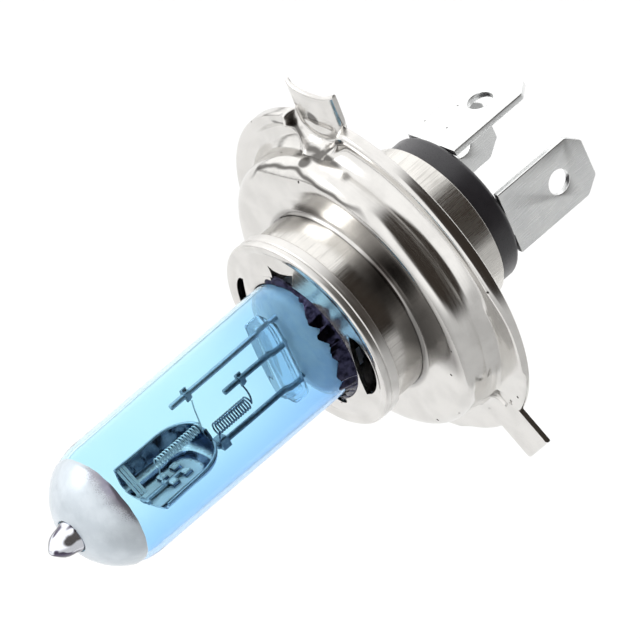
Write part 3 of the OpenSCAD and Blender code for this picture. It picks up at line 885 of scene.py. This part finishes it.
def weld_tab(node, lead_y):
    """A strip folded round its lead, with a tail to one side of it and an ear to the other."""
    box = extent(node)
    lead_r, ear_half = 0.4, 0.3
    fold_x, fold_y = lead_r + 0.16, lead_r + 0.14
    middle = (box.z0 + box.z1) / 2
    fold = rounded_block(node + "_fold", (-fold_x, lead_y - fold_y, box.z0),
                         (fold_x, lead_y + fold_y, box.z1), 0.12)
    tail = rounded_block("tail", (-0.09, box.y0, box.z0 + 0.08), (0.16, lead_y, box.z1 - 0.08), 0.06)
    ear = rounded_block("ear", (-0.12, lead_y, middle - ear_half), (0.12, box.y1, middle + ear_half), 0.07)
    return join(fold, tail, ear)


def dip_filament():
    return filament("dip_filament", (0, 0), coil_r=0.52, wire_r=0.085, first_z=28.6, length=6.5,
                    turns=16, leg_in=[(0.05, 3.4, 28.0), (0.1, 2.2, 28.2), (0.35, 0.9, 28.4)],
                    leg_out=[(0.45, -0.8, 35.3), (0.25, -2.0, 35.3), (0.0, -3.0, 35.0)])


def main_filament():
    return filament("main_filament", (0.1, -1.6), coil_r=0.68, wire_r=0.105, first_z=22.0, length=4.9,
                    turns=14, leg_in=[(0.25, 0.5, 21.8), (0.4, -0.2, 21.7), (0.7, -0.9, 21.8)],
                    leg_out=[(0.7, -2.2, 27.1), (0.6, -2.7, 27.2), (0.45, -3.1, 27.3)])


LEADS = (("dip_lead", 0.06, PALE_MOLYBDENUM), ("main_lead", -0.05, MOLYBDENUM),
         ("common_lead", 0.05, MOLYBDENUM))
for lead_name, lead_bend, lead_metal in LEADS:
    install(support_lead(lead_name, lead_bend), lead_metal, "molybdenum", lead_name)
for bar_name, bar_side in (("bridge_bar_near", 1), ("bridge_bar_far", -1)):
    install(bridge_bar(bar_name, bar_side), QUARTZ, "clear_glass", bar_name)
install(dip_filament(), TUNGSTEN_PAINTED_LIGHT, "tungsten", "dip_filament")
install(main_filament(), TUNGSTEN, "tungsten", "main_filament")
for tab_name, tab_lead_y in (("dip_weld_tab", 4.4), ("main_weld_tab", 1.3)):
    install(weld_tab(tab_name, tab_lead_y), MOLYBDENUM, "molybdenum", tab_name)

# ---- Dip-beam shield ----

NEAR_RIM = -2.2
PAD_MIDDLE_Z, PAD_HALF, PAD_RISE = 33.4, 0.5, 0.6


def shield_wall(across, along):
    """A point on the shield's inside, from the far rim (across 0) to the near one (1) and stern to bow."""
    half = SHIELD.r - 0.15
    stern = SHIELD.z0 + 0.8
    z = mix(stern, SHIELD.z1, along)
    back = min(1.0, max(0.0, (stern + half - z) / half))
    width = half * math.sqrt(1 - back ** 2.2) * (1 + 0.04 * smoothstep(0.6, 1.0, along))
    depth = SHIELD_DEPTH * math.sqrt(1 - back ** 2.6)
    rim = mix(0.0, NEAR_RIM, smoothstep(0.55, 0.95, across)) * (1 - 0.25 * smoothstep(0.6, 0.0, along))
    c, q = math.cos(math.pi * across), math.sin(math.pi * across)
    x = -width * math.copysign(abs(c) ** 0.75, c)
    y = -depth * abs(q) ** 0.32
    if across > 0.5:
        y = min(y, rim)
    return x, y + pads(x, z) * smoothstep(NEAR_RIM, NEAR_RIM - 0.5, y), z


def pads(x, z):
    """The height of the four square pads pressed up from the shield's floor."""
    def within(distance):
        return smoothstep(PAD_HALF + 0.06, PAD_HALF - 0.06, abs(distance))
    return sum(PAD_RISE * within(x - dx) * within(z - PAD_MIDDLE_Z - dz)
               for dx in (-1.25, 0.65) for dz in (-0.95, 0.95))


def shield_stations(parts):
    """Shares of the shield's length from stern to bow, closer together at the stern."""
    return [max((i / parts) ** 1.25, 0.004) for i in range(parts + 1)]


def dip_shield():
    """The stamped boat: a pressed skin of sheet with raised pads on its floor."""
    across, along = 110, 120
    points = [Vector(shield_wall(k / across, t)) for t in shield_stations(along) for k in range(across + 1)]
    stride = across + 1
    faces = []
    for i in range(along):
        for k in range(across):
            low = i * stride + k
            faces.append((low, low + 1, low + stride + 1, low + stride))
    obj = to_object("dip_shield_skin", points, faces, 60)
    sheet = obj.modifiers.new("sheet", "SOLIDIFY")
    sheet.thickness = SHIELD_SHEET * MM
    sheet.offset = 1.0
    mesh = baked(obj)
    obj.modifiers.clear()
    obj.data = mesh
    finish_mesh(mesh, 45)
    return obj


def shield_rim():
    """The rolled edge of the boat, from the near bow round the stern to the far bow."""
    stations = shield_stations(60)
    edge = [shield_wall(1.0, t) for t in reversed(stations)] + [shield_wall(0.0, t) for t in stations[1:]]
    return tube("dip_shield_rim", [(x, y + 0.05, z) for x, y, z in edge], 0.17, 10)


def shield_lip():
    """The folded strip across the bow: three narrow steps side by side."""
    left, right, width, pitch, slope = -4.0, -1.6, 0.33, 0.42, 1.25

    def slant(x, y, z):
        return x, y - slope * (x - left), z
    steps = []
    for i in range(3):
        z, rise = SHIELD.z1 - 0.05 - pitch * (i + 1), 0.10 * (i % 2)
        low, high = (left, rise - 0.25, z), (right, rise - 0.03, z + width)
        steps.append(rounded_block("dip_shield_lip", low, high, 0.06, slant))
    return join(*steps)


def shield_brace():
    """The flat wire welded along the shield's floor, turned up where it holds the coil's front leg."""
    floor_y, bow, bar_z, clamp_z = SHIELD_SHEET - SHIELD_DEPTH, SHIELD.z1, 32.2, 35.0
    bar = rounded_block("shield_brace_bar", (-0.26, floor_y, bar_z), (0.26, floor_y + 0.3, bow + 0.5), 0.08)
    foot = rounded_block("foot", (-0.75, floor_y - 0.1, bow - 0.1), (0.8, floor_y + 0.35, bow + 0.4), 0.1)
    clamp = rounded_block("clamp", (-0.4, floor_y + 0.1, clamp_z - 0.3),
                          (0.4, floor_y + 0.55, clamp_z + 0.3), 0.1)
    return join(bar, foot, clamp)


install(dip_shield(), SHIELD_METAL, "polished_shield", "dip_shield")
install(shield_rim(), PALE_MOLYBDENUM, "polished_shield", "dip_shield")
install(shield_lip(), LIP_PAINTED_LIGHT, "polished_shield", "dip_shield")
install(shield_brace(), PALE_MOLYBDENUM, "molybdenum", "shield_brace")

# ---- Metal cap ----


def slot_outline(angle, inner, outer, half_span, bow):
    """One slot in the cap's face: bowed outside, nearly straight inside."""
    parts = 24
    outline = []
    for k in range(parts + 1):
        t = mix(-1, 1, k / parts)
        outline.append((inner + (outer - inner) * (1 - t * t) ** 0.6, half_span * t))
    for k in range(1, parts):
        t = mix(1, -1, k / parts)
        outline.append((inner - bow * (1 - t * t), half_span * t))
    turn = math.radians(angle)
    c, q = math.cos(turn), math.sin(turn)
    return [(x * c - y * q, x * q + y * c) for x, y in outline]


def slot_cutter(outline):
    """A prism through the cap's face."""
    ends = [[(x, y, FACE_Z + reach) for x, y in outline] for reach in (-4.0, 4.0)]
    return solid_loft("slot_tool", ends, 32)


def front_cap():
    """The slotted disc with a raised rim, its rolled edge with a bead groove behind it, and its skirt."""
    floor_z = FACE_Z - 0.2
    inside_r = CAP.r - SHEET
    bead_z, bead_half, bead_depth = FACE_Z - 0.9, 0.15, 0.14
    outline = rounded([
        (CAP_HOLE_R, HOLE_Z - SHEET, 0.15), (inside_r, floor_z - SHEET, 0.35), (inside_r, SKIRT_Z, 0.12),
        (CAP.r, SKIRT_Z, 0.12), (CAP.r, bead_z - bead_half, 0.06), (CAP.r - bead_depth, bead_z, 0.06),
        (CAP.r, bead_z + bead_half, 0.06), (CAP.r, FACE_Z, 0.38), (CAP.r - 0.75, FACE_Z, 0.25),
        (CAP.r - 1.3, floor_z, 0.35), (CAP_HOLE_R, HOLE_Z, 0.2)])

    def pressed(x, y, z):
        lift = 0.07 * wander(x, y, 0, 0.2) * smoothstep(CAP_HOLE_R, CAP_HOLE_R + 1.0, math.hypot(x, y))
        return x, y, z + min(lift, 0.0)
    slots = [slot_outline(angle, inner=8.35, outer=10.7, half_span=4.4, bow=0.0) for angle in SLOT_ANGLES]
    small_notch = slot_outline(-73, inner=7.9, outer=8.8, half_span=1.0, bow=0.3)
    cuts = [*slots, small_notch, FIN_NOTCH]
    return cut(lathe("front_cap_disc", outline, 240, 32, pressed), *[slot_cutter(o) for o in cuts])


def tongue(angle, span, height, seed):
    """One pointed tongue, bent up from the disc's hole until it touches the glass, a little crumpled."""
    across, along, thickness = 10, 8, 0.13
    root_z = HOLE_Z - 0.3
    peak = 0.5 + 0.3 * math.sin(seed * 1.3)
    rings = []
    for i in range(across + 1):
        t = i / across
        rise = 1 - 0.45 * (abs(t - peak) / max(peak, 1 - peak)) ** 1.2
        front, back = [], []
        for k in range(along + 1):
            h = k / along
            a = math.radians(angle + span * (t - 0.5) * (1 - 0.25 * h))
            fold = 0.12 * wander(a * 9, h * 1.5, seed, 1.3) * smoothstep(1.0, 0.5, h)
            r = max(mix(CAP_HOLE_R + 0.15, GLASS.r + 0.12, h ** 0.6) + fold, GLASS.r + 0.06)
            z = root_z + (HOLE_Z - root_z + height) * h * rise
            front.append(polar(r, a, z))
            back.append(polar(r + thickness, a, z + 0.05))
        rings.append(front + back[::-1])
    return solid_loft("tongue", rings, 25)


def tongues():
    """The tongues round the hole: uneven, in two overlapping layers, tallest beside the near slot."""
    tallest_at = 4
    made = []
    angle, index = FLAT_TONGUE[1] - 360, 0
    while angle < FLAT_TONGUE[0]:
        span = 11 + 12 * (0.5 + 0.5 * math.sin(index * 2.3)) ** 2
        middle = angle + span / 2
        tall = smoothstep(66, 20, abs((middle - tallest_at + 180) % 360 - 180))
        height = mix(0.25, 2.0, tall) + mix(0.12, 0.35, tall) * math.sin(index * 1.7)
        made.append(tongue(middle, span * 1.2, height, index))
        made.append(tongue(middle + span * 0.45, span * 0.8, height * 0.8, index + 50))
        angle += span
        index += 1
    return made


def flat_tongue():
    """The tongue on the far side, left nearly flat."""
    tip_r, root_r, parts = GLASS.r + 0.1, CAP_HOLE_R + 0.3, 48
    outline = [(tip_r, HOLE_Z - 0.35), (root_r, HOLE_Z - 0.45), (root_r, HOLE_Z - 0.1), (tip_r, HOLE_Z + 0.1)]
    rings = []
    for i in range(parts + 1):
        a = math.radians(mix(*FLAT_TONGUE, i / parts))
        rings.append([polar(r, a, z) for r, z in outline])
    return solid_loft("flat_tongue", rings, 40)


def neck_sleeve():
    """The tube between the cap and the flange, very slightly out of round."""
    inside_r = NECK.r - 0.5
    outline = rounded([(inside_r, NECK.z0, 0.1), (NECK.r, NECK.z0, 0.1), (NECK.r, NECK.z1, 0.2),
                       (inside_r, NECK.z1, 0.2)])
    return lathe("neck_tube", subdivided(outline + outline[:1], 0.4), 240, 32, uneven(0.0035, 0.13))


install(front_cap(), NICKEL_CAP, "nickel_plate", "front_cap")
install(join(*tongues()), TONGUE_PAINTED_SHADE, "nickel_plate", "front_cap")
install(flat_tongue(), NICKEL_CAP, "nickel_plate", "front_cap")
install(neck_sleeve(), NICKEL_DRAWN, "nickel_plate", "neck_sleeve")

# ---- Prefocus ring ----

CHANNEL_Z, RIDGE_Z = 0.25, 0.9
BOWL_Y, BOWL_R = 22.5, 4.9
LUG_HOLLOW_R = 12.0
RING_BORE_R = NECK.r + 0.04


def side_lug_front(z, bump, x, y):
    """The front face and the share of ridge left, flattened and dented at the two side lugs."""
    dent_out, dent_aside = 18.9, 2.1
    for side, a in SIDE_LUG_ANGLES.items():
        outward = x * math.cos(a) + y * math.sin(a)
        sideways = y * math.cos(a) - x * math.sin(a)
        flat = smoothstep(66, 44, abs(math.degrees(math.atan2(sideways, outward))))
        r = math.hypot(x, y)
        z = mix(z, CHANNEL_Z + 0.15, flat * smoothstep(STEP_R + 0.1, STEP_R + 0.6, r))
        bump *= 1 - flat
        z = mix(z, 0.0, smoothstep(-0.5, 0.7, outward - LUG_ROOT))
        across, along = abs(sideways + side * dent_aside), abs(outward - dent_out)
        z = mix(z, -0.25, smoothstep(1.25, 0.85, across) * smoothstep(1.15, 0.8, along))
    return z, bump


def ring_front(x, y):
    """Height of the flange's front face: a channel and a ridge, then the side lugs, then the bowl
    and its lip at the reference lug."""
    r = math.hypot(x, y)
    foot_rise, foot_width = 1.5, 1.8
    z = CHANNEL_Z + foot_rise * max(0.0, 1 - (r - STEP_R) / foot_width) ** 2.2
    z, bump = side_lug_front(z, smoothstep(RING.r - 2.0, RING.r - 0.9, r), x, y)
    z = mix(z, RIDGE_Z, bump)
    from_bowl = math.hypot(x, min(0.0, y - BOWL_Y))
    lug = -(y - LUG_ROOT) * math.tan(math.radians(2.5)) - 0.1 * (x / REF_LUG_HALF) ** 2
    lug -= 0.35 * max(0.0, (abs(x) - 2.6) / 1.4) ** 2
    lug -= 0.25 * smoothstep(3.6, 2.4, from_bowl) * smoothstep(20.8, 19.8, y)
    lip = 0.62 * math.exp(-((from_bowl - BOWL_R) / 0.5) ** 2) * smoothstep(RING.r + 0.2, RING.r - 1.2, r)
    return mix(z, lug, smoothstep(BOWL_R + 0.05, BOWL_R - 0.75, from_bowl)) + lip


def ring_reach(theta):
    """Distance from the axis to the outline: the flange, the side lugs and the hollow-ended lug."""
    for a in SIDE_LUG_ANGLES.values():
        off = turn_from(a, theta)
        if abs(off) < math.asin(SIDE_LUG_HALF / RING.r):
            return min(SIDE_LUG_HALF / max(abs(math.sin(off)), 1e-6), SIDE_LUG_REACH / math.cos(off))
    off = turn_from(REF_LUG_ANGLE, theta)
    if abs(off) < math.asin(REF_LUG_HALF / RING.r):
        centre = RING.y1 + math.sqrt(LUG_HOLLOW_R ** 2 - REF_LUG_HALF ** 2)
        run = centre * math.cos(off)
        hollow = run - math.sqrt(run ** 2 - centre ** 2 + LUG_HOLLOW_R ** 2)
        return min(REF_LUG_HALF / max(abs(math.sin(off)), 1e-6), hollow)
    return RING.r


def ring_angles():
    """Angles round the ring, closer together at the lugs."""
    lugs = [REF_LUG_ANGLE, *SIDE_LUG_ANGLES.values()]
    angles = []
    theta = 0.0
    while theta < math.tau - 0.0005:
        angles.append(theta)
        near = min(abs(turn_from(a, theta)) for a in lugs)
        theta += math.radians(0.14 if near < math.radians(12.5) else 0.5)
    return angles


def plateau_section(theta, outline):
    """The raised step at one angle, a little wavy and drawn down beside the reference lug."""
    beside_lug = math.exp(-((math.degrees(theta) - 98) / 14) ** 2)
    section = []
    for r, z in outline:
        x, y, z = polar(r, theta, z)
        lift = 0.04 * wander(x, y, 3.0, 0.14) * smoothstep(RING_BORE_R, RING_BORE_R + 2, r)
        sag = 0.8 * beside_lug * smoothstep(15.4, 17.5, r) * smoothstep(1.8, 4.0, z)
        section.append((x, y, min(z + lift, STEP_Z + 0.45) - sag))
    return section


def flange_section(theta):
    """The flange at one angle: its front face, the rounded edge and the back face."""
    across, lug_edge, bevel = 44, 0.38, 0.12
    reach = ring_reach(theta)
    edge = 0.5 if reach <= RING.r + 1e-6 else lug_edge
    edge = mix(edge, lug_edge, smoothstep(0.3, 0.05, ring_front(*polar(reach, theta, 0)[:2])))
    front, back = [], []
    for k in range(across + 1):
        x, y, _ = polar(mix(STEP_R + 0.04, reach - edge, (k / across) ** 0.8), theta, 0)
        front.append((x, y, ring_front(x, y)))
    top = front[-1][2]
    foot = min(-SHEET, top - SHEET)
    round_edge = [polar(reach - edge + edge * math.sin(a), theta, top - edge * (1 - math.cos(a)))
                  for a in (math.radians(15 * k) for k in range(1, 7))]
    round_edge += [polar(reach, theta, foot + bevel), polar(reach - bevel, theta, foot)]
    for x, y, z in front[:-1]:
        turned = smoothstep(RING.r - 1.3, RING.r - 0.7, math.hypot(x, y))
        back.append((x, y, mix(min(z - SHEET, -0.2), foot, turned)))
    back.append((*front[-1][:2], foot))
    return front + round_edge + back[::-1]


def prefocus_ring():
    """The drawn flange, lofted round the axis: plateau, wall, channel, ridge and rim, with the three lugs."""
    step_back = STEP_Z - SHEET
    plateau = subdivided(rounded([(RING_BORE_R, STEP_Z + 0.45, 0), (RING_BORE_R, STEP_Z, 0.45),
                                  (STEP_R, STEP_Z, 1.5), (STEP_R + 0.02, 1.75, 0)], 9), 0.45)
    inside = [(STEP_R - SHEET, 0.3), (STEP_R - SHEET, step_back - 0.5), (STEP_R - SHEET - 0.5, step_back),
              (RING_BORE_R, step_back)]
    angles = ring_angles()
    points = []
    for theta in angles:
        points += plateau_section(theta, plateau) + flange_section(theta)
        points += [polar(r, theta, z) for r, z in inside]
    sides = len(points) // len(angles)
    return to_object("prefocus_flange", points, loft_faces(len(angles), sides, True, False), 38)


install(prefocus_ring(), NICKEL_RING, "nickel_plate", "prefocus_ring")

# ---- Rear ----


def rear_shell():
    """The short tube behind the flange, with a narrow collar at its front end."""
    rim, tube_r, flare_r, bore_r = 0.12, 10.0, NECK.r - SHEET, SHELL.r - 1.6
    outline = rounded([
        (bore_r, SHELL.z1 - 0.3, 0), (bore_r, SHELL.z1, 0), (flare_r, SHELL.z1, rim),
        (flare_r, SHELL.z1 - SHEET, rim), (tube_r, SHELL.z1 - SHEET, 0.5), (tube_r, SHELL.z0, rim),
        (tube_r - 0.5, SHELL.z0, rim), (tube_r - 0.5, SHELL.z1 - 0.3, 0.2)])
    return lathe("rear_shell_tube", outline, 240)


def insulator():
    """The moulded disc with a rounded rear edge and a shallow dish behind."""
    dish_z = INSULATOR.z0 + 0.5
    outline = rounded([
        (0.0, INSULATOR.z1, 0), (0.0, dish_z, 0), (5.2, dish_z, 0.2), (5.6, INSULATOR.z0, 0.2),
        (INSULATOR.r, INSULATOR.z0, 0.7), (INSULATOR.r, INSULATOR.z1, 0.15)])
    return lathe("insulator_disc", outline)


def blade(node, angle):
    """A blade with chamfered end corners, a detent hole and a narrow tang inside the insulator."""
    half, end_half, taper, tang, tang_z = 4.0, 2.4, 1.8, 1.5, -3.4
    hole_r, hole_z, middle_r = 1.45, -19.5, 8.4
    end = extent(node).z0
    shoulder = INSULATOR.z0 - 0.02
    left = [(-tang, tang_z, 0.1), (-tang, shoulder, 0.1), (-half, shoulder, 0.1), (-half, end + taper, 0.8),
            (-end_half, end, 0.5)]
    right = [(-u, v, radius) for u, v, radius in reversed(left)]
    hole = arc(0, hole_z, hole_r, 0, 360, 64)[:-1]
    turn = math.radians(angle)

    def place(u, v, w):
        out = middle_r + w
        return out * math.cos(turn) - u * math.sin(turn), out * math.sin(turn) + u * math.cos(turn), v
    return plate(node + "_blade", rounded(left + right, 10), hole, 0.8, 0.12, place)


install(rear_shell(), NICKEL_SATIN, "nickel_plate", "rear_shell")
install(insulator(), PLASTIC, "black_insulator", "insulator")
for blade_name, blade_angle in (("terminal_top", 90), ("terminal_left", 180), ("terminal_right", 0)):
    install(blade(blade_name, blade_angle), TIN, "tinned_blade", blade_name)

# ---- CAD pieces that stay, with their materials ----

KEPT = {
    "foil_top": FOIL, "foil_middle": FOIL, "foil_bottom": FOIL,
    "burner_clip": SPRING_PAINTED_SHADE, "shield_bracket": MOLYBDENUM,
    "outer_lead_top": WIRE, "outer_lead_left": WIRE, "outer_lead_right": WIRE,
}
for kept_name, kept_material in KEPT.items():
    kept_mesh = frame["nodes"][kept_name].data
    kept_mesh.materials.clear()
    kept_mesh.materials.append(kept_material)

# ---- Floor, light and camera ----

FLOOR_DROP = 60 * MM
FLOOR_LEFT, FLOOR_RIGHT, FLOOR_DEPTH = -2.0, 0.02, 2.0
AZIMUTH, ELEVATION, ROLL = 61.6, 33.0, 24.2
AIM_RIGHT, AIM_UP = -6.75, -5.36
LENS = 1200.0
PIXELS_PER_MM = 9.26
IMAGE_WIDTH = 640
SENSOR = 36.0


def floor():
    """A pale floor well below the bulb that ends just to its right."""
    height = CAD_BOX[0].z - FLOOR_DROP
    corners = [(FLOOR_LEFT, -FLOOR_DEPTH, height), (FLOOR_RIGHT, -FLOOR_DEPTH, height),
               (FLOOR_RIGHT, FLOOR_DEPTH, height), (FLOOR_LEFT, FLOOR_DEPTH, height)]
    mesh = bpy.data.meshes.new("floor")
    mesh.from_pydata(corners, [], [(0, 1, 2, 3)])
    obj = link("floor", mesh)
    s = Shader(bpy.data.materials.new("pale_floor"))
    mesh.materials.append(s.surface(Base_Color=(0.9, 0.9, 0.9), Roughness=0.9, Specular_IOR_Level=0.1))


def world():
    """A white tent with a dark opening on the right, a dark seam low on the left, a faint window to the
    rear left and a bright one to the front left."""
    studio = bpy.data.worlds.new("studio")
    bpy.context.scene.world = studio
    s = Shader(studio)
    ray = s.add("ShaderNodeTexCoord").outputs["Generated"]
    right, _, height = s.axes(ray)
    seam = s.times(s.band(height, 0.05, 0.055, 0.03), s.remap(right, 0.1, -0.2), 0.8)
    dark = s.math("MAXIMUM", s.cone(ray, (0.84, 0.42, 0.34), 35, 50), s.cone(ray, (0.95, 0.0, 0.30), 24, 42))
    dark = s.math("MAXIMUM", dark, seam)
    level = s.math("SUBTRACT", 1.28, s.times(s.remap(height, -0.05, -0.45), 0.62))
    level = s.plus(level, s.times(s.cone(ray, (-0.72, 0.40, 0.56), 26, 50), 0.12))
    level = s.plus(level, s.times(s.cone(ray, (-0.47, -0.41, 0.78), 11, 19), 2.5))
    colour = s.blend(dark, (1.0, 1.0, 1.0), (0.036, 0.029, 0.024))
    soft = s.add("ShaderNodeBackground", {"Color": colour, "Strength": level})
    white = s.add("ShaderNodeBackground", {"Color": (1.0, 1.0, 1.0), "Strength": 1.0})
    seen = s.add("ShaderNodeLightPath").outputs["Is Camera Ray"]
    shown = s.add("ShaderNodeMixShader", {0: seen, 1: soft.outputs[0], 2: white.outputs[0]})
    s.add("ShaderNodeOutputWorld", {"Surface": shown.outputs[0]})


def camera():
    """A long lens at the photo's viewing angle, so that the view is nearly parallel."""
    azimuth, elevation = math.radians(AZIMUTH), math.radians(ELEVATION)
    towards = Vector((math.sin(azimuth) * math.cos(elevation), -math.cos(azimuth) * math.cos(elevation),
                      math.sin(elevation)))
    distance = LENS * IMAGE_WIDTH / (SENSOR * PIXELS_PER_MM) * MM
    data = bpy.data.cameras.new("camera")
    data.lens = LENS
    data.sensor_width = SENSOR
    data.clip_start, data.clip_end = distance * 0.1, distance * 20
    obj = link("camera", data)
    obj.rotation_mode = "QUATERNION"
    turn = (-towards).to_track_quat("-Z", "Y") @ Quaternion((0, 0, 1), -math.radians(ROLL))
    obj.rotation_quaternion = turn
    obj.location = towards * distance + turn @ Vector((AIM_RIGHT, AIM_UP, 0)) * MM
    bpy.context.scene.camera = obj


floor()
world()
camera()
scene = bpy.context.scene
scene.view_settings.view_transform = "Standard"
scene.cycles.max_bounces = 24
scene.cycles.transmission_bounces = 24
scene.cycles.transparent_max_bounces = 16
